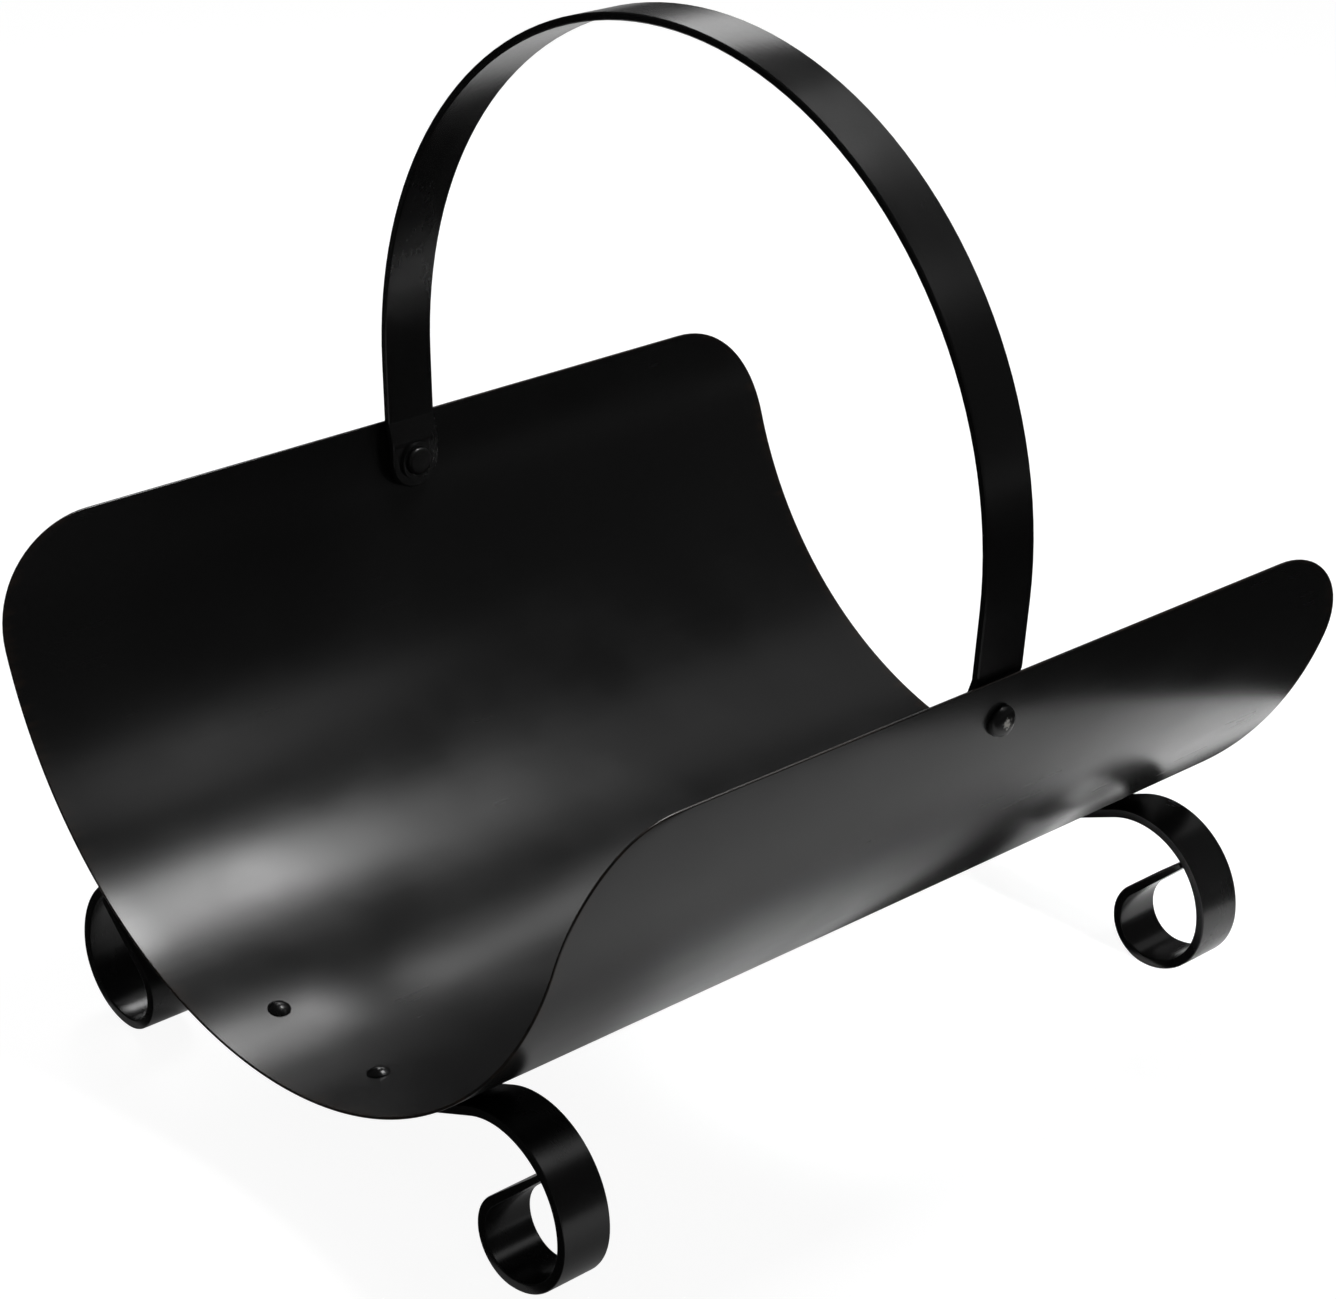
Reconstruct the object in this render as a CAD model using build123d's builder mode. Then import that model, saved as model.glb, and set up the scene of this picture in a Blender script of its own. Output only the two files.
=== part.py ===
from build123d import *
import math
import os

# Log holder. A tray of sheet steel is rolled to a half round, open at both ends, and
# riveted to two scrolled feet of flat bar. A flat-bar handle arches over the tray and
# swings on a rivet at each side.
# Millimetres, +Z up, X along the tray. The origin is on the floor under its middle.

# Tray
tray_length = 508.0
tray_outer_radius = 211.0
sheet_thickness = 1.5
tray_depth = 201.2  # from the underside to the top edge
tray_corner_radius = 57.0  # of the sheet's four corners

# Feet, with radii to the bar's outer face
foot_bar_width = 27.0
foot_bar_thickness = 5.0
foot_inset = 37.0  # from the tray's end to a foot's centre line
strap_run = 39.5  # straight bar between the tray and the shoulder
shoulder_radius = 47.3
shoulder_reach = 134.3  # from the centre plane to the shoulder's centre
scroll_radius = 35.5
curl_radius = 22.6
curl_turn = 140.0  # degrees past the lowest point
tip_thickness = 3.0  # that the bar's straight tip is drawn down to
tip_gap = 0.5  # between the tip and the inside of the shoulder
land_depth = 0.15  # of the flat that each scroll stands on
foot_rivet_reach = 38.0  # along the tray's curve, from the centre plane

# Handle, with radii to the bar's outer face
handle_bar_width = 30.0
handle_bar_thickness = 4.0
pivot_below_edge = 21.6
arch_centre_above_edge = 44.0
leg_lean = 3.0  # degrees that the arch closes in past its half circle
pad_past_spacer = 2.0  # flat left above the spacer before the joggle
joggle_top = 21.5  # above the pivot
joggle_radius = 8.0
pad_wall_gap = 0.6  # between the pad's lower end and the tray
bar_edge_chamfer = 0.6  # eased for the hand

# Rivets, each with a domed head at one end and a flat hammered tail of the same radius
pivot_rivet_radius = 4.75
pivot_head_radius = 7.7
pivot_head_height = 5.0
pivot_tail_height = 2.6
foot_rivet_radius = 3.0
foot_head_radius = 5.6
foot_head_height = 2.6
foot_head_edge = 0.4  # straight side under the dome
foot_tail_height = 2.0
set_hole_clearance = 0.05  # radial, where a rivet is set tight
turning_clearance = 0.08  # radial, of what turns or slips on a pivot rivet
washer_radius = 10.0
washer_thickness = 1.5
spacer_radius = 8.0
pad_play = 0.1  # on each side of the handle's pad

# Where the tray lies: its underside and the shoulder share one tangent, strap_run long
tray_inner_radius = tray_outer_radius - sheet_thickness
foot_centre_z = scroll_radius - land_depth
tangent_reach = tray_outer_radius + shoulder_radius
centre_distance = math.hypot(tangent_reach, strap_run)
tray_axis_z = foot_centre_z + math.sqrt(centre_distance**2 - shoulder_reach**2)
centre_line_angle = math.degrees(math.atan2(shoulder_reach, tray_axis_z - foot_centre_z))
hug_angle = centre_line_angle - math.degrees(math.atan2(strap_run, tangent_reach))
tray_top_z = tray_axis_z - tray_outer_radius + tray_depth
shoulder_turn = 90 + hug_angle
scroll_reach = shoulder_reach + shoulder_radius - scroll_radius
curl_centre = (scroll_reach, curl_radius - land_depth)
foot_reach = tray_length / 2 - foot_inset
foot_centres = {"left": -foot_reach, "right": foot_reach}
sides = {"front": -1, "back": 1}


def wall_reach(radius, height):
    """Distance from the centre plane to the tray's wall at a height above the floor."""
    return math.sqrt(radius**2 - (tray_axis_z - height) ** 2)


def polar(length, degrees):
    """A length laid off in a direction, in a foot's section."""
    return Vector(length, 0).rotate(Axis.Z, degrees)


# Where the curl's straight tip ends, just inside the shoulder
tip_start = Vector(*curl_centre) + polar(curl_radius, 270 - curl_turn)
tip_way = polar(1, 180 - curl_turn)
from_shoulder = tip_start - Vector(shoulder_reach, foot_centre_z)
approach = from_shoulder.dot(tip_way)
tip_room = shoulder_radius - foot_bar_thickness - tip_gap
tip_run = math.sqrt(tip_room**2 + approach**2 - from_shoulder.length**2) - approach
tip_end = tip_start + tip_way * tip_run

# Where the handle hangs: its pads clear the wall down to their rounded lower ends
pivot_z = tray_top_z - pivot_below_edge
arch_centre_z = tray_top_z + arch_centre_above_edge
arch_radius = tray_inner_radius
arch_height = arch_centre_z - pivot_z + 2 * arch_radius
pad_end_z = pivot_z - handle_bar_width / 2
pad_face = wall_reach(tray_inner_radius, pad_end_z) - pad_wall_gap
lean_drop = arch_centre_z - pivot_z - joggle_top
lean_tangent = math.tan(math.radians(leg_lean))
lip_face = arch_radius / math.cos(math.radians(leg_lean)) - lean_drop * lean_tangent
pad_back = pad_face - handle_bar_thickness
turning_radius = pivot_rivet_radius + turning_clearance
foot_hole_radius = foot_rivet_radius + set_hole_clearance


def foot_rivet_section(centre_x, side):
    """Plane along a foot rivet: x along the tray, y out from the tray's axis."""
    angle = foot_rivet_reach / tray_outer_radius
    normal = (0, math.cos(angle), side * math.sin(angle))
    return Plane(origin=(centre_x, 0, tray_axis_z), x_dir=(1, 0, 0), z_dir=normal)


def pivot_section(side):
    """Plane along a pivot rivet: x along the tray, y out from the centre plane."""
    return Plane(origin=(0, 0, pivot_z), x_dir=(1, 0, 0), z_dir=(0, 0, side))


def rivet_axis(section):
    """The centre line of the rivet that a section plane cuts."""
    return Axis(section.origin, section.y_dir)


def rivet_plane(section):
    """Plane square to a rivet, facing out of the tray."""
    return Plane(origin=section.origin, x_dir=section.x_dir, z_dir=section.y_dir)


def dome(seat, edge, radius, height, outward):
    """Half section of a rivet's head: a straight edge above its seat, then a dome."""
    ball_radius = (radius**2 + height**2) / (2 * height)
    half_angle = math.degrees(math.asin(radius / ball_radius))
    crown = (0, seat + outward * (edge + height))
    with BuildLine() as outline:
        cap = JernArc(crown, (1, 0), ball_radius, -outward * half_angle)
        Polyline(cap @ 1, (radius, seat), (0, seat), crown)
    make_face(outline.edges())


def barrel(radius, start, end):
    """Half section of a rivet's shank or tail."""
    with Locations((0, start)):
        Rectangle(radius, end - start, align=Align.MIN)


def write_piece(piece, name):
    """Name a finished piece and write it to its own file."""
    piece.part.label = name
    export_step(piece.part, f"parts/{name}.step")


os.makedirs("parts", exist_ok=True)

# Tray: the roll is trimmed by its side view, which rounds the sheet's corners
with BuildPart() as tray:
    with BuildSketch(Plane.YZ):
        with Locations((0, tray_axis_z)):
            Circle(tray_outer_radius)
            Circle(tray_inner_radius, mode=Mode.SUBTRACT)
    extrude(amount=tray_length, both=True)
    with BuildSketch(Plane.XZ) as side_view:
        with Locations((0, tray_top_z)):
            Rectangle(tray_length, 2 * tray_depth, align=(Align.CENTER, Align.MAX))
        fillet(side_view.vertices().group_by(Axis.Y)[-1], tray_corner_radius)
    extrude(amount=2 * tray_outer_radius, both=True, mode=Mode.INTERSECT)
    with BuildSketch(Plane.XZ):
        with Locations((0, pivot_z)):
            Circle(pivot_rivet_radius + set_hole_clearance)
    extrude(amount=2 * tray_outer_radius, both=True, mode=Mode.SUBTRACT)
    for centre_x in foot_centres.values():
        for side in sides.values():
            with BuildSketch(rivet_plane(foot_rivet_section(centre_x, side))):
                Circle(foot_hole_radius)
            extrude(amount=2 * tray_outer_radius, mode=Mode.SUBTRACT)
write_piece(tray, "tray")

# Feet: the strap hugs the tray, then runs over a shoulder, under a scroll and into a curl,
# whose straight tip closes up to the shoulder
for name, centre_x in foot_centres.items():
    with BuildPart() as foot:
        with BuildSketch(Plane.YZ.offset(centre_x)):
            with BuildLine():
                strap_ends = []
                for depth, tip_depth in ((0, 0), (foot_bar_thickness, tip_thickness)):
                    hug = CenterArc((0, tray_axis_z), tray_outer_radius + depth, -90, hug_angle)
                    shoulder = CenterArc(
                        (shoulder_reach, foot_centre_z),
                        shoulder_radius - depth,
                        shoulder_turn,
                        -shoulder_turn,
                    )
                    Line(hug @ 1, shoulder @ 0)
                    CenterArc((scroll_reach, foot_centre_z), scroll_radius - depth, 0, -90)
                    curl = CenterArc(curl_centre, curl_radius - depth, -90, -curl_turn)
                    tip_corner = tip_end + polar(tip_depth, 90 - curl_turn)
                    Line(curl @ 1, tip_corner)
                    strap_ends.append((hug @ 0, tip_corner))
                for middle_or_tip in zip(*strap_ends):
                    Line(*middle_or_tip)
            make_face()
            mirror(about=Plane.YZ)
        extrude(amount=foot_bar_width / 2, both=True)
        split(bisect_by=Plane.XY, keep=Keep.TOP)
        for side in sides.values():
            with BuildSketch(rivet_plane(foot_rivet_section(centre_x, side))):
                Circle(foot_hole_radius)
            extrude(amount=2 * tray_outer_radius, mode=Mode.SUBTRACT)
    write_piece(foot, f"foot_{name}")

# Handle: arch, legs and, joggled in behind the tray's wall, a round-ended pad each side
with BuildPart() as handle:
    with BuildSketch(Plane.YZ):
        with BuildLine() as half_bow:
            arch = CenterArc((0, arch_centre_z), arch_radius, 90, -90 - leg_lean)
            lip = (lip_face, pivot_z + joggle_top)
            pad_start = (pad_face, pivot_z + spacer_radius + pad_past_spacer)
            FilletPolyline(arch @ 1, lip, pad_start, (pad_face, pad_end_z), radius=joggle_radius)
            offset(half_bow.line, handle_bar_thickness, side=Side.RIGHT)
        make_face()
        mirror(about=Plane.YZ)
    extrude(amount=handle_bar_width, both=True)
    with BuildSketch(Plane.XZ):
        with Locations((0, pivot_z)):
            Rectangle(handle_bar_width, arch_height, align=(Align.CENTER, Align.MIN))
            Circle(handle_bar_width / 2)
            Circle(turning_radius, mode=Mode.SUBTRACT)
    extrude(amount=2 * tray_outer_radius, both=True, mode=Mode.INTERSECT)
    chamfer(handle.faces().filter_by(Axis.X).edges(), bar_edge_chamfer)
write_piece(handle, "handle")

# Pivot fittings: outward from the handle's middle, each side has a washer, the handle's pad
# and a spacer, all on one rivet
pivot = pivot_section(sides["back"])
washer_face = pad_back - pad_play - washer_thickness
spacer_face = pad_face + pad_play
dome_edge = wall_reach(tray_outer_radius, pivot_z) - spacer_face

# The rivets' outer domes are formed against the curved wall
with BuildPart() as pivot_rivets:
    with BuildSketch(pivot):
        dome(spacer_face, dome_edge, pivot_head_radius, pivot_head_height, 1)
    revolve(axis=rivet_axis(pivot))
    with BuildSketch(Plane.YZ):
        with Locations((0, tray_axis_z)):
            Circle(tray_outer_radius)
    extrude(amount=2 * pivot_head_radius, both=True, mode=Mode.SUBTRACT)
    with BuildSketch(pivot):
        barrel(pivot_head_radius, washer_face - pivot_tail_height, washer_face)
        barrel(pivot_rivet_radius, washer_face, spacer_face + dome_edge)
    revolve(axis=rivet_axis(pivot))
    mirror(about=Plane.XZ)
write_piece(pivot_rivets, "pivot_rivets")

with BuildPart() as pivot_washers:
    with BuildSketch(rivet_plane(pivot).offset(washer_face)):
        Circle(washer_radius)
        Circle(turning_radius, mode=Mode.SUBTRACT)
    extrude(amount=washer_thickness)
    mirror(about=Plane.XZ)
write_piece(pivot_washers, "pivot_washers")

# The spacers' outer ends are filed to the wall's curve
with BuildPart() as pivot_spacers:
    with BuildSketch(rivet_plane(pivot).offset(spacer_face)):
        Circle(spacer_radius)
        Circle(turning_radius, mode=Mode.SUBTRACT)
    extrude(amount=spacer_radius)
    with BuildSketch(Plane.YZ):
        with Locations((0, tray_axis_z)):
            Circle(tray_inner_radius)
    extrude(amount=2 * spacer_radius, both=True, mode=Mode.INTERSECT)
    mirror(about=Plane.XZ)
write_piece(pivot_spacers, "pivot_spacers")

# Foot rivets: two hold each foot, with the domed head in the tray and the tail under the strap
head_seat = math.sqrt(tray_inner_radius**2 - foot_head_radius**2)
tail_seat = tray_outer_radius + foot_bar_thickness
for name, side in sides.items():
    with BuildPart() as foot_rivets:
        for centre_x in foot_centres.values():
            section = foot_rivet_section(centre_x, side)
            with BuildSketch(section):
                dome(head_seat, foot_head_edge, foot_head_radius, foot_head_height, -1)
                barrel(foot_head_radius, tail_seat, tail_seat + foot_tail_height)
                barrel(foot_rivet_radius, head_seat, tail_seat)
            revolve(axis=rivet_axis(section))
    write_piece(foot_rivets, f"foot_rivets_{name}")
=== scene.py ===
import math

import bpy
from mathutils import Matrix, Vector


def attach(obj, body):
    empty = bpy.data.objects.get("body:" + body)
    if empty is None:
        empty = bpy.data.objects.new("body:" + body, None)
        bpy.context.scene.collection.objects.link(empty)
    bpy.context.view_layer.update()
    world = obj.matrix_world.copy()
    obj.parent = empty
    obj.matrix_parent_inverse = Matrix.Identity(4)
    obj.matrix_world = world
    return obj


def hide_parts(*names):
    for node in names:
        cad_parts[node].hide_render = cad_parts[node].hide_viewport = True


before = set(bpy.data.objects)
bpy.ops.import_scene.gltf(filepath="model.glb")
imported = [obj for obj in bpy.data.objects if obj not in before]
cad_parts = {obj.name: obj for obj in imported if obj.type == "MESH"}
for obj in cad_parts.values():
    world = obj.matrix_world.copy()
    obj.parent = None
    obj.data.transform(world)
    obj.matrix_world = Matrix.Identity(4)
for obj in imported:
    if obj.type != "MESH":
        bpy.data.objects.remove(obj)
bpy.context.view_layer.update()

# Tray. One sheet of 1.5 mm mild steel, sheared with rounded corners and rolled to a half
# round that lies open at both ends. The sheared edge keeps a small burr-rounded lip, and
# the finish is satin black stove enamel, sprayed on after the rivets are set.
mm = 0.001
tray_radius = 211 * mm
tray_sheet = 1.5 * mm
tray_half_length = 254 * mm
tray_corner = 57 * mm
tray_axis_z = 259.499 * mm
tray_top_z = 249.699 * mm
tray_columns = 28
tray_arc_rows = 52
tray_corner_rows = 20
corner_z = tray_top_z - tray_corner
corner_angle = math.acos((tray_axis_z - corner_z) / tray_radius)
# the lip starts this far in from the sheet's edge, and its rings are (how deep they lie as a
# share of the sheet, how far in from the edge)
lip_width = 0.45 * mm
lip_rings = ((0.18, 0.12 * mm), (0.5, 0.0), (0.82, 0.12 * mm))


def tray_point(row, column, radius, inset):
    """A point of the rolled sheet: row across the roll, column along it, inset from the edge."""
    side = -1 if row < 0 else 1
    step = abs(row)
    half_length = tray_half_length - inset
    angle = corner_angle * min(step / tray_arc_rows, 1)
    if step > tray_arc_rows:
        turn = math.pi / 2 * (step - tray_arc_rows) / tray_corner_rows
        height = corner_z + (tray_corner - inset) * math.sin(turn)
        half_length = tray_half_length - tray_corner + (tray_corner - inset) * math.cos(turn)
        angle = math.acos((tray_axis_z - height) / tray_radius)
    return (
        half_length * (2 * column / tray_columns - 1),
        side * radius * math.sin(angle),
        tray_axis_z - radius * math.cos(angle),
    )


def piece(name, points, faces, material, body, slot, *nodes):
    """Makes a smooth mesh that rides on a body and stands for its CAD nodes."""
    mesh = bpy.data.meshes.new(name)
    mesh.from_pydata(points, [], faces)
    mesh.materials.append(material)
    mesh.shade_smooth()
    made = bpy.data.objects.new(name, mesh)
    bpy.context.scene.collection.objects.link(made)
    made.modifiers.new("even_normals", "WEIGHTED_NORMAL").weight = 100
    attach(made, body)
    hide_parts(*nodes)
    return made


def linear(colour):
    """The linear colour of an sRGB hex value."""
    parts = [int(colour[i:i + 2], 16) / 255 for i in (1, 3, 5)]
    return [p / 12.92 if p <= 0.04045 else ((p + 0.055) / 1.055) ** 2.4 for p in parts] + [1]


def add(material, kind, settings, sources):
    """Adds one shader node, sets its values and links its inputs.

    Sockets that share a name go by number: a Math node's from 0, and a Mix node's 0 for the
    share, 2 and 3 for two numbers, or 6 and 7 for two colours.
    """
    made = material.node_tree.nodes.new("ShaderNode" + kind)
    for name, value in settings.items():
        if isinstance(name, str) and hasattr(made, name):
            setattr(made, name, value)
        else:
            made.inputs[name].default_value = value
    for name, source in sources.items():
        material.node_tree.links.new(source, made.inputs[name])
    return made


# dry spray lies in patches of 60 mm, wiping leaves streaks 4 mm wide, the mill leaves a grain
# of 6 mm and its rolls a wave of 110 mm; the peel's real 0.8 mm is drawn at 1.4 mm to show
dry_patch = 60 * mm
wiped_streak = 4 * mm
wiped_change = 0.006
mill_grain = 6 * mm
roll_wave = 110 * mm
peel_size = 1.4 * mm
peel_height = 0.006 * mm
# most of a noise pattern's values lie between these
noise_low = 0.3
noise_high = 0.7


def stove_enamel(name, film, thin, gloss, ripple, drawn, grain):
    """Satin black stove enamel, sprayed on bare steel and baked.

    It lies as a dark film with a faint orange peel. Under it the steel's ripple and grain
    show, longer the way the metal was drawn. It is duller in broad patches where the spray
    fell dry and in faint wiped streaks, and thins to brown along worn edges.

    Film and thin are its colours, gloss its roughness sprayed wet and sprayed dry, ripple
    and grain their heights, and drawn what the patterns are scaled by along each axis.
    """
    made = bpy.data.materials.new(name)
    made.use_nodes = True
    shader = made.node_tree.nodes["Principled BSDF"]
    place = add(made, "TexCoord", {}, {}).outputs["Object"]
    along = add(made, "Mapping", {"Scale": drawn}, {"Vector": place}).outputs[0]
    patches = add(made, "TexNoise", {"Scale": 1 / dry_patch, "Detail": 2.0}, {"Vector": place})
    streaks = add(made, "TexNoise", {"Scale": 1 / wiped_streak, "Detail": 2.0},
                  {"Vector": along})
    rolled = add(made, "TexNoise", {"Scale": 1 / mill_grain, "Detail": 1.0}, {"Vector": along})
    wave = add(made, "TexNoise", {"Scale": 1 / roll_wave, "Detail": 0.0}, {"Vector": place})
    peel = add(made, "TexNoise", {"Scale": 1 / peel_size, "Detail": 0.0}, {"Vector": place})

    # an edge is worn in spots, and nowhere right through
    edge = add(made, "Attribute", {"attribute_name": "edge"}, {}).outputs["Fac"]
    worn = add(made, "Math", {"operation": "MULTIPLY"},
               {0: edge, 1: streaks.outputs[0]}).outputs[0]
    worn = add(made, "MapRange", {"From Min": 0.35, "From Max": 0.65, "To Max": 0.7},
               {"Value": worn}).outputs[0]
    tone = add(made, "Mix", {"data_type": "RGBA", 6: linear(film), 7: linear(thin)}, {0: worn})
    made.node_tree.links.new(tone.outputs[2], shader.inputs["Base Color"])

    dry = add(made, "MapRange", {"interpolation_type": "SMOOTHSTEP",
                                 "From Min": noise_low, "From Max": noise_high,
                                 "To Min": gloss[0], "To Max": gloss[1]},
              {"Value": patches.outputs[0]}).outputs[0]
    wiped = add(made, "MapRange", {"From Min": noise_low, "From Max": noise_high,
                                   "To Min": -wiped_change, "To Max": wiped_change},
                {"Value": streaks.outputs[0]}).outputs[0]
    rough = add(made, "Math", {"operation": "ADD"}, {0: dry, 1: wiped}).outputs[0]
    made.node_tree.links.new(rough, shader.inputs["Roughness"])

    skin = None
    for source, height in ((wave, ripple), (rolled, grain), (peel, peel_height)):
        linked = {"Height": source.outputs[0]}
        if skin:
            linked["Normal"] = skin
        skin = add(made, "Bump", {"Distance": height}, linked).outputs[0]
    made.node_tree.links.new(skin, shader.inputs["Normal"])
    return made


# cold-rolled sheet is smooth, so its sheen is long and soft with a slow wave in it
rolled_enamel = stove_enamel("stove_enamel_on_rolled_sheet", "#101010", "#2a2019",
                             (0.22, 0.27), 0.3 * mm, (0.08, 1.0, 1.0), 0.002 * mm)

tray_rows = range(-tray_arc_rows - tray_corner_rows, tray_arc_rows + tray_corner_rows + 1)
last_row = len(tray_rows) - 1
row_size = tray_columns + 1
points = []
for radius in (tray_radius, tray_radius - tray_sheet):
    points += [tray_point(row, column, radius, lip_width)
               for row in tray_rows for column in range(row_size)]
skin_size = len(tray_rows) * row_size
faces = []
for row in range(last_row):
    for column in range(tray_columns):
        near = row * row_size + column
        outer = (near, near + row_size, near + 1 + row_size, near + 1)
        faces.append(outer)
        faces.append(tuple(skin_size + corner for corner in reversed(outer)))

# the lip goes round the sheet's edge: first row, far end, last row, near end
rim = [(0, column) for column in range(tray_columns)]
rim += [(row, tray_columns) for row in range(last_row)]
rim += [(last_row, column) for column in range(tray_columns, 0, -1)]
rim += [(row, 0) for row in range(last_row, 0, -1)]
loops = [[row * row_size + column for row, column in rim]]
for depth, inset in lip_rings:
    loops.append(list(range(len(points), len(points) + len(rim))))
    points += [tray_point(tray_rows[row], column, tray_radius - depth * tray_sheet, inset)
               for row, column in rim]
loops.append([skin_size + row * row_size + column for row, column in rim])
for upper, lower in zip(loops, loops[1:]):
    for i in range(len(rim)):
        j = (i + 1) % len(rim)
        faces.append((upper[i], upper[j], lower[j], lower[i]))
tray = piece("tray_sheet", points, faces, rolled_enamel, "holder", "tray_sheet", "tray")
edge = tray.data.attributes.new("edge", "FLOAT", "POINT")
for loop in loops:
    for i in loop:
        edge.data[i].value = 1.0

# Feet. Each is one 27 x 5 mm flat bar, rolled hot and bent cold: it hugs the tray, runs
# over a shoulder and ends in a scroll at both ends, with its drawn-down tip closed up to
# the shoulder. The mill has eased its corners, and each scroll stands on a worn flat.
bar_half_width = 13.5 * mm
bar_thickness = 5 * mm
bar_eased = 0.7 * mm
bar_end_eased = 0.05 * mm
foot_x = 217 * mm
strap_run = 39.5 * mm
shoulder_radius = 47.3 * mm
shoulder_y = 134.3 * mm
shoulder_z = 35.35 * mm
scroll_radius = 35.5 * mm
scroll_turn = 90
curl_radius = 22.6 * mm
curl_turn = 140
tip_run = 40.7 * mm
tip_thickness = 3 * mm
tip_steps = 8
bend_pitch = 1.6 * mm


def bend(start, heading, moves, pitch):
    """Stations (y, z, heading) along a bar's face. A move is a straight run, or a radius
    with the degrees it turns, positive to the left."""
    y, z = start
    stations = [(y, z, heading)]
    for length, degrees in moves:
        turn = math.radians(degrees)
        steps = max(2, round(abs(length * turn) / pitch))
        half_step = turn / steps / 2
        chord = 2 * length * math.sin(abs(half_step)) if degrees else length / steps
        for _ in range(steps):
            heading += half_step
            y += chord * math.cos(heading)
            z += chord * math.sin(heading)
            heading += half_step
            stations.append((y, z, heading))
    return stations


def bar_section(half_width, thickness, eased, inset):
    """Points (across, deep) round a flat bar with eased corners."""
    eased = max(eased - inset, bar_end_eased)
    section = []
    for across, deep, first in ((1, 0, -90), (1, 1, 0), (-1, 1, 90), (-1, 0, 180)):
        middle = (across * (half_width - inset - eased),
                  inset + eased if deep == 0 else thickness - inset - eased)
        for step in (0, 30, 60, 90):
            angle = math.radians(first + step)
            section.append((middle[0] + eased * math.cos(angle),
                            middle[1] + eased * math.sin(angle)))
    return section


def bar(centre_x, stations, half_width, thickness, eased):
    """Points and faces of a flat bar whose left face follows the stations. It has one
    thickness for each station."""
    points, faces = [], []
    rings = [(0, eased)] + [(count, 0) for count in range(len(stations))]
    rings += [(len(stations) - 1, eased)]
    last = len(rings) - 1
    for ring, (count, inset) in enumerate(rings):
        y, z, heading = stations[count]
        # the two ends' edges are eased as well, so the last full section stands back
        back = {1: eased, last - 1: -eased}.get(ring, 0)
        y += back * math.cos(heading)
        z += back * math.sin(heading)
        for across, deep in bar_section(half_width, thickness[count], eased, inset):
            # the floor wears a flat where the bar stands on it
            points.append((centre_x + across, y + deep * math.sin(heading),
                           max(z - deep * math.cos(heading), 0)))
    size = len(points) // len(rings)
    for ring in range(last):
        for i in range(size):
            j = (i + 1) % size
            faces.append((ring * size + i, ring * size + j,
                          (ring + 1) * size + j, (ring + 1) * size + i))
    faces.append(tuple(reversed(range(size))))
    faces.append(tuple(last * size + i for i in range(size)))
    return points, faces


# hot-rolled bar keeps its scale's grain, which breaks up the sheen along it
bent_enamel = stove_enamel("stove_enamel_on_hot_rolled_bar", "#0c0c0c", "#2c2119",
                           (0.22, 0.29), 0.1 * mm, (3.0, 1.0, 1.0), 0.02 * mm)

# the strap leaves the tray on the line that touches both the tray and the shoulder
hug = math.degrees(math.atan2(shoulder_y, tray_axis_z - shoulder_z)
                   - math.atan2(strap_run, tray_radius + shoulder_radius))
foot_half = bend((0, tray_axis_z - tray_radius), 0,
                 ((tray_radius, hug), (strap_run, 0), (shoulder_radius, -90 - hug),
                  (scroll_radius, -scroll_turn), (curl_radius, -curl_turn)), bend_pitch)
foot_thickness = [bar_thickness] * len(foot_half)
curl_y, curl_z, curl_heading = foot_half[-1]
for step in range(1, tip_steps + 1):
    share = step / tip_steps
    foot_half.append((curl_y + share * tip_run * math.cos(curl_heading),
                      curl_z + share * tip_run * math.sin(curl_heading), curl_heading))
    foot_thickness.append(bar_thickness + share * (tip_thickness - bar_thickness))
foot_line = [(-y, z, -heading) for y, z, heading in reversed(foot_half[1:])] + foot_half
foot_thickness = foot_thickness[:0:-1] + foot_thickness
for name, centre_x in (("left", -foot_x), ("right", foot_x)):
    points, faces = bar(centre_x, foot_line, bar_half_width, foot_thickness, bar_eased)
    piece(f"foot_bar_{name}", points, faces, bent_enamel, "holder", "foot_bar",
          f"foot_{name}")

# Foot rivets. Solid steel rivets hold each foot to the tray: the domed head is inside the
# tray and the tail is hammered flat under the strap. They are sprayed with the rest, and
# the hammer's marks make their sheen lumpy.
rivet_enamel = stove_enamel("stove_enamel_on_hammered_rivet", "#0d0d0d", "#3a322b",
                            (0.2, 0.28), 0.1 * mm, (3.0, 3.0, 3.0), 0.04 * mm)
for name in ("foot_rivets_front", "foot_rivets_back"):
    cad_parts[name].data.materials[0] = rivet_enamel

# Handle. One 30 x 4 mm flat bar bent to an arch, its legs closing in to joggled pads that
# hang inside the tray's wall. Its corners are eased, and the crown is rubbed smoother by
# the hand that carries it.
held_from_z = 440 * mm
held_to_z = 495 * mm
held_change = -0.05
grip_enamel = stove_enamel("stove_enamel_on_carried_bar", "#0c0c0c", "#2c2119",
                           (0.22, 0.28), 0.12 * mm, (3.0, 1.0, 1.0), 0.012 * mm)
shader = grip_enamel.node_tree.nodes["Principled BSDF"]
place = add(grip_enamel, "TexCoord", {}, {}).outputs["Object"]
height = add(grip_enamel, "SeparateXYZ", {}, {"Vector": place}).outputs["Z"]
held = add(grip_enamel, "MapRange", {"interpolation_type": "SMOOTHSTEP",
                                     "From Min": held_from_z, "From Max": held_to_z,
                                     "To Min": 0.0, "To Max": held_change},
           {"Value": height}).outputs[0]
rough = add(grip_enamel, "Math", {"operation": "ADD"},
            {0: held, 1: shader.inputs["Roughness"].links[0].from_socket}).outputs[0]
grip_enamel.node_tree.links.new(rough, shader.inputs["Roughness"])
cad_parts["handle"].data.materials[0] = grip_enamel

# Pivot fittings. Each leg turns on a large solid rivet, with a collar filed to the wall's
# curve outside the pad and a plain washer inside it. The rivet's dome is beaten down on to
# the curved wall, its crown is rubbed to bright steel, and its tail is hammered flat.
pivot_z = 228.099 * mm
pivot_radius = 4.75 * mm
dome_radius = 7.7 * mm
dome_steps = 16
dome_fullness = 0.65
crown_reach = 213.65 * mm
rubbed_radius = 5.6 * mm
tail_seat = 198.097 * mm
tail_height = 2.6 * mm
middle_radius = 0.1 * mm
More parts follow.
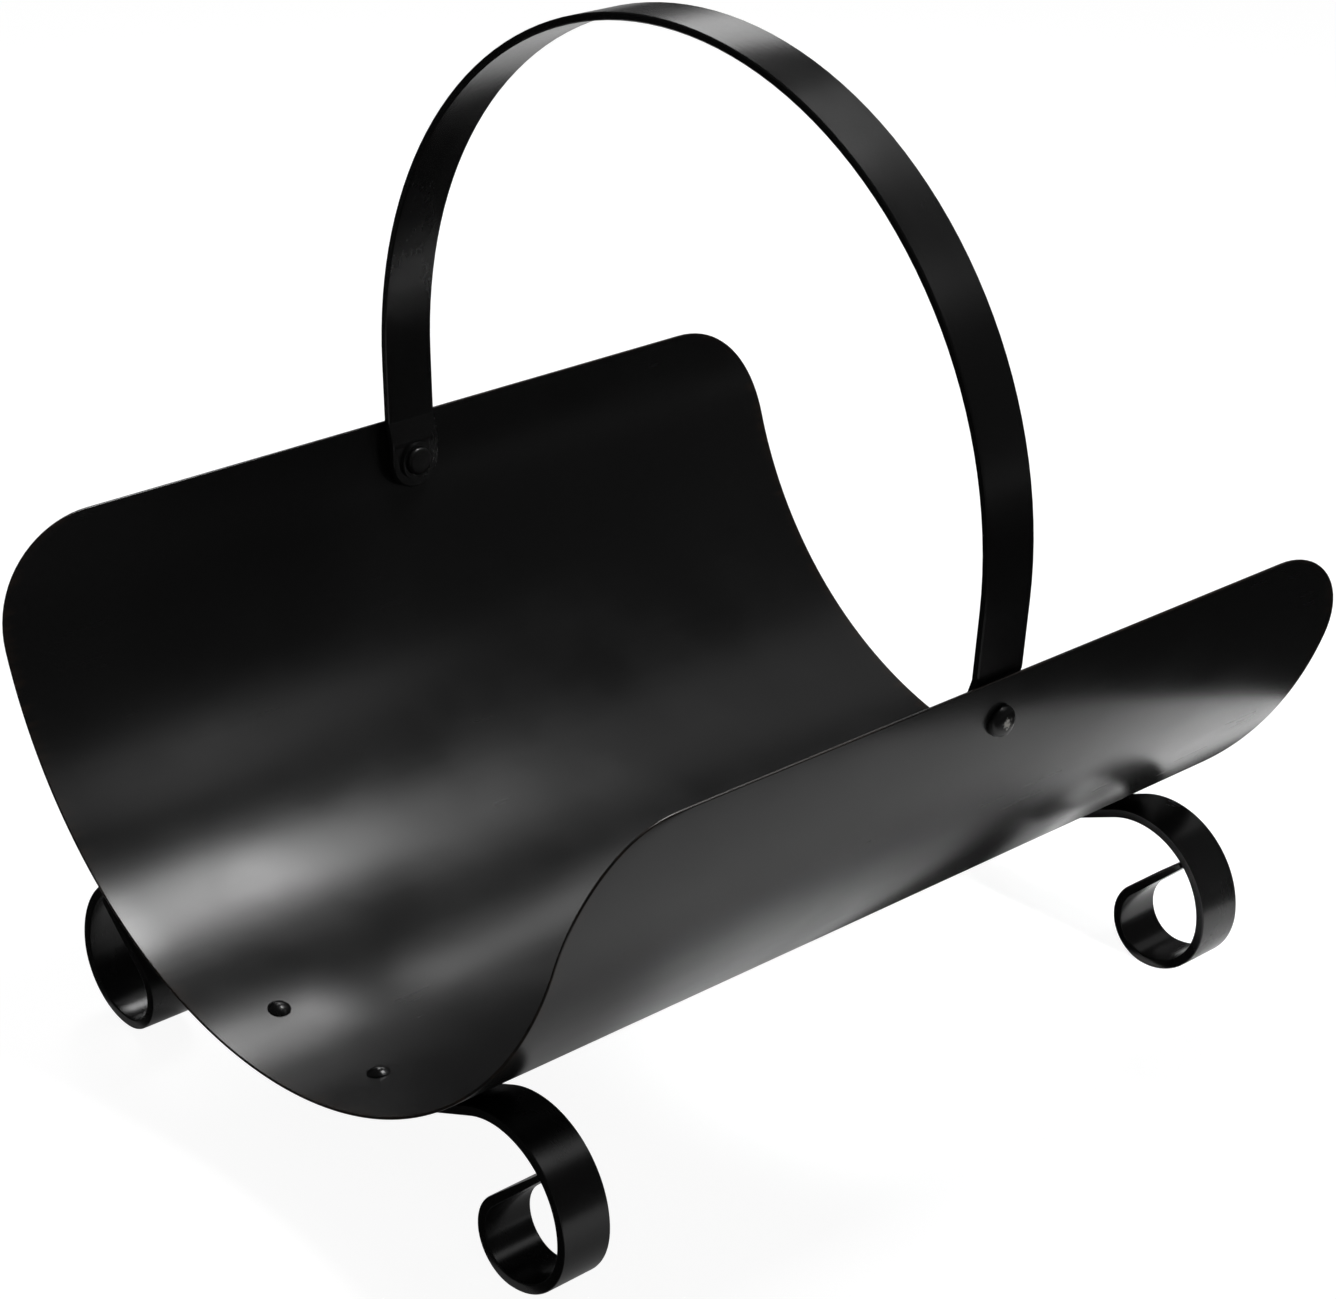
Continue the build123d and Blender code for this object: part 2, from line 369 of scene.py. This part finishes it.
# the tail's rings, from its face to its seat, are (height above the seat, radius)
tail_rings = ((tail_height, middle_radius), (tail_height, 5.6 * mm),
              (0.85 * tail_height, 7.2 * mm), (1.1 * mm, 7.7 * mm), (0, 7.5 * mm))
out_of_round = 0.02
rivet_sides = 40
for name in ("pivot_washers", "pivot_spacers"):
    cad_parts[name].data.materials[0] = rivet_enamel

# where the crown is rubbed through, flecks of dull bright steel show; they are 1.5 mm wide
rubbed_fleck = 1.5 * mm
rubbed_roughness = 0.65
crown_enamel = stove_enamel("stove_enamel_rubbed_from_the_crown", "#0d0d0d", "#3a322b",
                            (0.3, 0.38), 0.1 * mm, (3.0, 3.0, 3.0), 0.03 * mm)
shader = crown_enamel.node_tree.nodes["Principled BSDF"]
place = add(crown_enamel, "TexCoord", {}, {}).outputs["Object"]
rubbed = add(crown_enamel, "Attribute", {"attribute_name": "crown"}, {}).outputs["Fac"]
fleck = add(crown_enamel, "TexNoise", {"Scale": 1 / rubbed_fleck, "Detail": 2.0},
            {"Vector": place}).outputs[0]
# the flecks break up the rim of what is rubbed
bright = add(crown_enamel, "Math", {"operation": "MULTIPLY_ADD", 2: -0.2},
             {0: fleck, 1: rubbed}).outputs[0]
bright = add(crown_enamel, "MapRange", {"interpolation_type": "SMOOTHSTEP", "From Min": 0.0,
                                        "From Max": 0.25}, {"Value": bright}).outputs[0]
tone = add(crown_enamel, "Mix", {"data_type": "RGBA", 7: linear("#e6e4de")},
           {0: bright, 6: shader.inputs["Base Color"].links[0].from_socket}).outputs[2]
rough = add(crown_enamel, "Mix", {3: rubbed_roughness},
            {0: bright, 2: shader.inputs["Roughness"].links[0].from_socket}).outputs[0]
for socket, source in (("Base Color", tone), ("Roughness", rough), ("Metallic", bright)):
    crown_enamel.node_tree.links.new(source, shader.inputs[socket])

for name, side in (("front", -1), ("back", 1)):
    # rings (reach from the centre plane, radius, domed); a domed ring's reach is its share
    # of the way from the wall to the crown
    rings = [(tail_seat - above, radius, False) for above, radius in tail_rings]
    rings += [(tail_seat, pivot_radius, False), (0, pivot_radius, True)]
    for step in range(dome_steps + 1):
        angle = math.pi / 2 * step / dome_steps
        rings.append((math.sin(angle) ** dome_fullness,
                      dome_radius * math.cos(angle) ** dome_fullness, True))
    points, rub = [], []
    for count, (reach, radius, domed) in enumerate(rings):
        radius = max(radius, middle_radius)
        for i in range(rivet_sides):
            angle = 2 * math.pi * i / rivet_sides
            # the hammer leaves the tail's rim a little out of round
            round_share = 1
            if count <= len(tail_rings):
                round_share = 1 + out_of_round * math.sin(3 * angle + side) - out_of_round
            x = radius * round_share * math.cos(angle)
            z = pivot_z + radius * round_share * math.sin(angle)
            wall = math.sqrt(tray_radius ** 2 - (tray_axis_z - z) ** 2)
            y = wall + reach * (crown_reach - wall) if domed else reach
            points.append((x, side * y, z))
            rub.append(max(0.0, 1 - radius / rubbed_radius) if domed and reach > 0.5 else 0.0)
    faces = []
    for ring in range(len(rings) - 1):
        for i in range(rivet_sides):
            j = (i + 1) % rivet_sides
            face = (ring * rivet_sides + i, ring * rivet_sides + j,
                    (ring + 1) * rivet_sides + j, (ring + 1) * rivet_sides + i)
            faces.append(face[::-1] if side > 0 else face)
    tail = tuple(range(rivet_sides))
    crown = tuple(len(points) - rivet_sides + i for i in range(rivet_sides))
    faces += [tail, crown[::-1]] if side > 0 else [tail[::-1], crown]
    rivet = piece(f"pivot_rivet_{name}", points, faces, crown_enamel, "holder", "rivets",
                  "pivot_rivets")
    mask = rivet.data.attributes.new("crown", "FLOAT", "POINT")
    for i, value in enumerate(rub):
        mask.data[i].value = value

# Floor. A plain pale ground, matt white, with the holder's soft shadow on it. To the camera
# it runs into the white behind it, and reflections see it dimmer.
floor_reach = 6
floor_corners = [(-floor_reach, -floor_reach, 0), (floor_reach, -floor_reach, 0),
                 (floor_reach, floor_reach, 0), (-floor_reach, floor_reach, 0)]
floor_mesh = bpy.data.meshes.new("floor")
floor_mesh.from_pydata(floor_corners, [], [(0, 1, 2, 3)])
floor = bpy.data.objects.new("floor", floor_mesh)
bpy.context.scene.collection.objects.link(floor)
ground = bpy.data.materials.new("matt_white_ground")
ground.use_nodes = True
ground.node_tree.nodes.remove(ground.node_tree.nodes["Principled BSDF"])
floor_mesh.materials.append(ground)
seen = add(ground, "LightPath", {}, {}).outputs["Is Camera Ray"]
shade = add(ground, "Mix", {"data_type": "RGBA", 6: linear("#f8f8f8"), 7: linear("#8c8c8c")},
            {0: seen}).outputs[2]
lit = add(ground, "BsdfDiffuse", {}, {"Color": shade}).outputs[0]
lift = add(ground, "MapRange", {"To Min": 0.18, "To Max": 0.93}, {"Value": seen}).outputs[0]
glow = add(ground, "Emission", {}, {"Strength": lift}).outputs[0]
both = add(ground, "AddShader", {}, {0: lit, 1: glow}).outputs[0]
ground.node_tree.links.new(both, ground.node_tree.nodes["Material Output"].inputs["Surface"])

# Black cards lie on the ground in front, at both ends and under the right foot. Only
# reflections see them: they are painted dark reflections that keep the holder's upright
# faces and bar edges black, and the one under the right foot is painted shade there.
card_height = 1 * mm
black = bpy.data.materials.new("black_card")
black.use_nodes = True
shader = black.node_tree.nodes["Principled BSDF"]
shader.inputs["Base Color"].default_value = linear("#0a0a0a")
shader.inputs["Roughness"].default_value = 1.0
for name, corners in (
    ("card_front_right", ((3, -3), (3, 3), (0.98, 1.0), (0.62, 0.12), (0.5, -0.05),
                          (0.42, -0.155), (0.35, -0.245), (0.27, -0.42), (0.22, -0.54),
                          (-3, -0.54), (-3, -3))),
    ("card_right_end", ((0.262, -0.1), (0.42, -0.1), (0.5, -0.05), (0.5, 0.33),
                        (0.262, 0.33))),
    # painted shade: the dark under the tray by the right foot, as reflections see it
    ("shade_card_under_right", ((0.07, -0.05), (0.165, -0.17), (0.2, -0.2), (0.2, 0.0),
                          (0.07, 0.05))),
    ("card_left", ((-0.235, -0.28), (-0.235, 3), (-3, 3), (-3, -0.28))),
):
    card_mesh = bpy.data.meshes.new(name)
    card_mesh.from_pydata([(x, y, card_height) for x, y in corners], [],
                          [range(len(corners))])
    card_mesh.materials.append(black)
    card = bpy.data.objects.new(name, card_mesh)
    bpy.context.scene.collection.objects.link(card)
    card.visible_camera = False
    card.visible_diffuse = False
    card.visible_shadow = False

# Light. Silk behind the right throws the shadow forward, silk in front fills it, five
# softboxes give the sheens, and two small pools of light lie on the ground, at the right
# and under the front wall. The studio round them is dim.
world = bpy.data.worlds.new("dim_studio")
bpy.context.scene.world = world
world.use_nodes = True
sky = world.node_tree.nodes["Background"]
ray = add(world, "LightPath", {}, {}).outputs["Is Camera Ray"]
level = add(world, "MapRange", {"To Min": 0.05, "To Max": 1.0}, {"Value": ray}).outputs[0]
sky.inputs["Color"].default_value = (1, 1, 1, 1)
world.node_tree.links.new(level, sky.inputs["Strength"])


def lamp(name, kind, place, aim, power):
    """A lamp at a place, turned to what it lights."""
    light = bpy.data.lights.new(name, kind)
    light.energy = power
    made = bpy.data.objects.new(name, light)
    bpy.context.scene.collection.objects.link(made)
    made.location = place
    made.rotation_euler = (Vector(aim) - Vector(place)).to_track_quat("-Z", "Y").to_euler()
    made.visible_camera = False
    return made


for name, place, power, spread in (("silk_back", (0.45, 0.7, 1.0), 0.35, 40),
                                   ("silk_front", (-0.5, -0.9, 0.75), 0.2, 40)):
    silk = lamp(name, "SUN", place, (0, 0, 0), power)
    silk.data.angle = math.radians(spread)
    silk.visible_glossy = False

# a softbox's power is worked out from how bright its face looks
holder_middle = (0, 0, 0.25)
for name, place, wide, high, brightness in (
    ("softbox_overhead", (0.43, -0.05, 1.45), 0.36, 0.42, 20.0),
    ("softbox_right", (1.3, 0.05, 1.7), 0.8, 1.6, 0.3),
    ("softbox_back", (1.15, 1.0, 1.15), 0.45, 0.45, 2.2),
    ("softbox_front", (0.65, -0.85, 1.25), 0.4, 0.4, 1.3),
    ("softbox_back_left", (0.59, 0.98, 1.24), 0.3, 0.4, 8.0),
):
    box = lamp(name, "AREA", place, holder_middle, brightness * math.pi * wide * high)
    box.data.shape = "RECTANGLE"
    box.data.size = wide
    box.data.size_y = high

for name, place, aim, power, wide, high, spread in (
    ("pool_right", (0.5, -0.33, 0.4), (0.365, -0.145, 0), 0.08, 0.12, 0.12, 36),
    ("pool_front", (0.12, -1.2, 0.55), (0.1, -0.1, 0), 0.11, 0.3, 0.04, 6),
):
    pool = lamp(name, "AREA", place, aim, power)
    pool.data.shape = "RECTANGLE"
    pool.data.size = wide
    pool.data.size_y = high
    pool.data.spread = math.radians(spread)
    pool.visible_glossy = False

# Camera. A long lens from above the near left corner, at the photograph's angle, with no
# shift and no depth of field.
camera_place = (-1.0384, -1.08517, 0.87974)
camera_turns = (-43.596, 24.697, 1.459)
lens = bpy.data.cameras.new("camera")
lens.sensor_width = 36
lens.lens = 91.145
azimuth, elevation, roll = (math.radians(turn) for turn in camera_turns)
back = Vector((math.sin(azimuth) * math.cos(elevation),
               -math.cos(azimuth) * math.cos(elevation), math.sin(elevation)))
right = Vector((math.cos(azimuth), math.sin(azimuth), 0))
up = back.cross(right)
across = math.cos(roll) * right + math.sin(roll) * up
upward = math.cos(roll) * up - math.sin(roll) * right
camera = bpy.data.objects.new("camera", lens)
bpy.context.scene.collection.objects.link(camera)
camera.matrix_world = Matrix.LocRotScale(
    Vector(camera_place), Matrix((across, upward, back)).transposed(), None)
bpy.context.scene.camera = camera
bpy.context.scene.view_settings.view_transform = "Standard"
